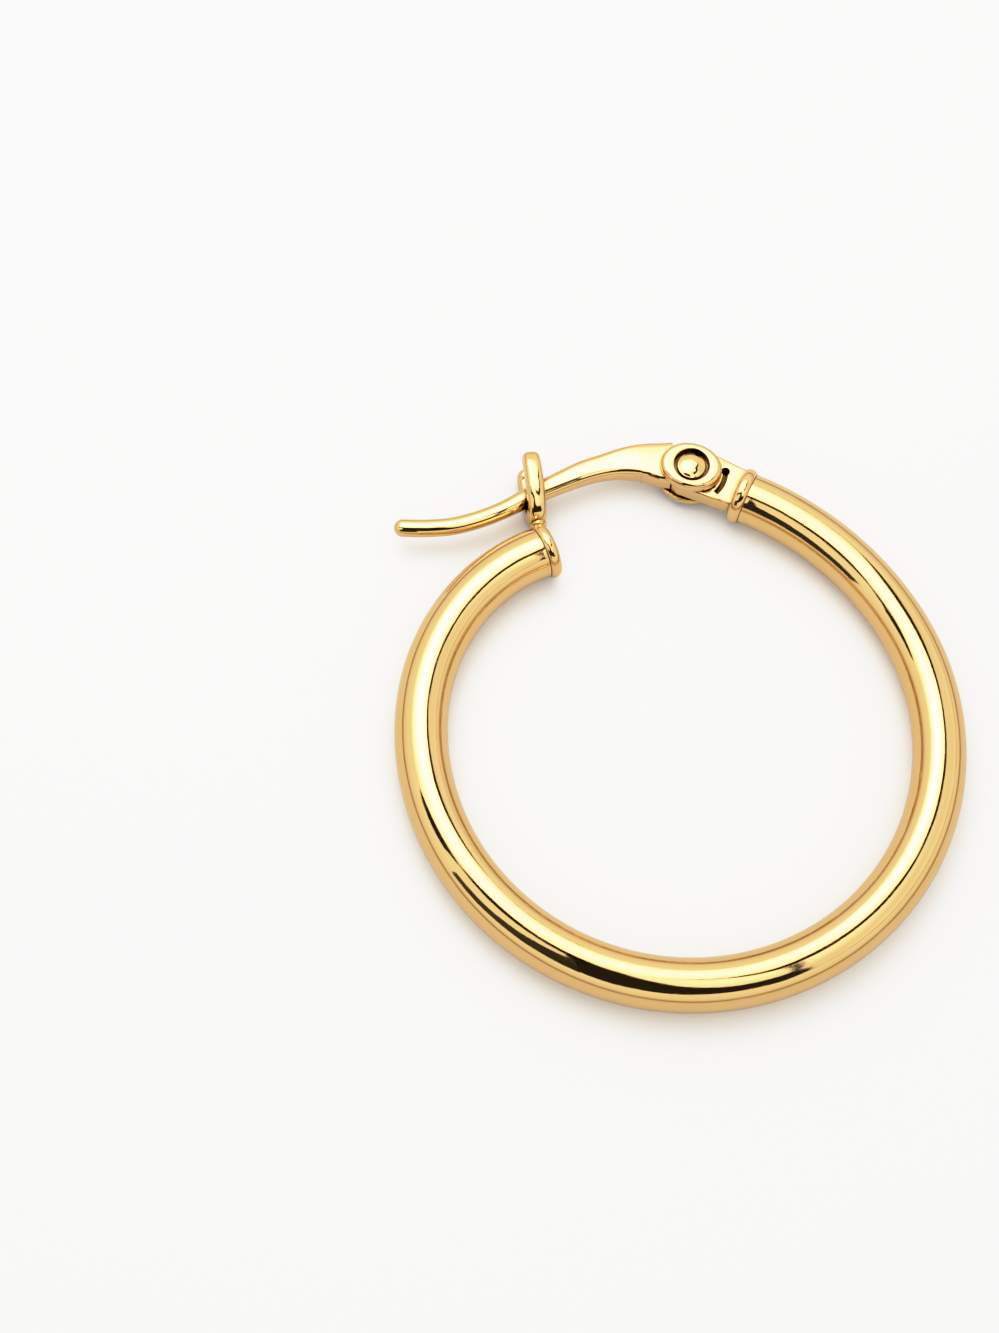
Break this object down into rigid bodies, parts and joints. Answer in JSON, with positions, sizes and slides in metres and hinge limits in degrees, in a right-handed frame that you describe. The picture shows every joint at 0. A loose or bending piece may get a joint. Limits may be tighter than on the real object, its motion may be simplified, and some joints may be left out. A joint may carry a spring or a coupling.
{
  "type": "hoop earring",
  "caption": "Round gold hoop earring of polished tube, closed by a curved hinged lever whose post snaps into a wire catch loop.",
  "frame": {"origin": "under the middle of the earring's box, on the surface it lies on", "axes": "+Z square to the hoop, away from the surface; +Y from the hoop's middle to its lever; +X from the catch to the hinge"},
  "size_m": [0.03, 0.0318, 0.0031],
  "materials": {
    "polished_gold_tube": "mirror-polished yellow gold",
    "polished_gold_hinge": "mirror-polished yellow gold",
    "polished_gold_catch": "mirror-polished yellow gold",
    "polished_gold_lever": "mirror-polished yellow gold",
    "polished_gold_pin": "polished yellow gold"
  },
  "bodies": {
    "hoop": {"hoop_tube": "polished_gold_tube", "hinge_fitting": "polished_gold_hinge", "catch_fitting": "polished_gold_catch", "hinge_pin": "polished_gold_pin"},
    "lever": {"lever": "polished_gold_lever"}
  },
  "joints": [
    {"name": "lever_hinge", "type": "hinge", "parent": "hoop", "child": "lever", "pos_m": [0.00343, 0.01393, 0.00157], "axis": [0, 0, -1], "range_deg": [0, 80]}
  ]
}
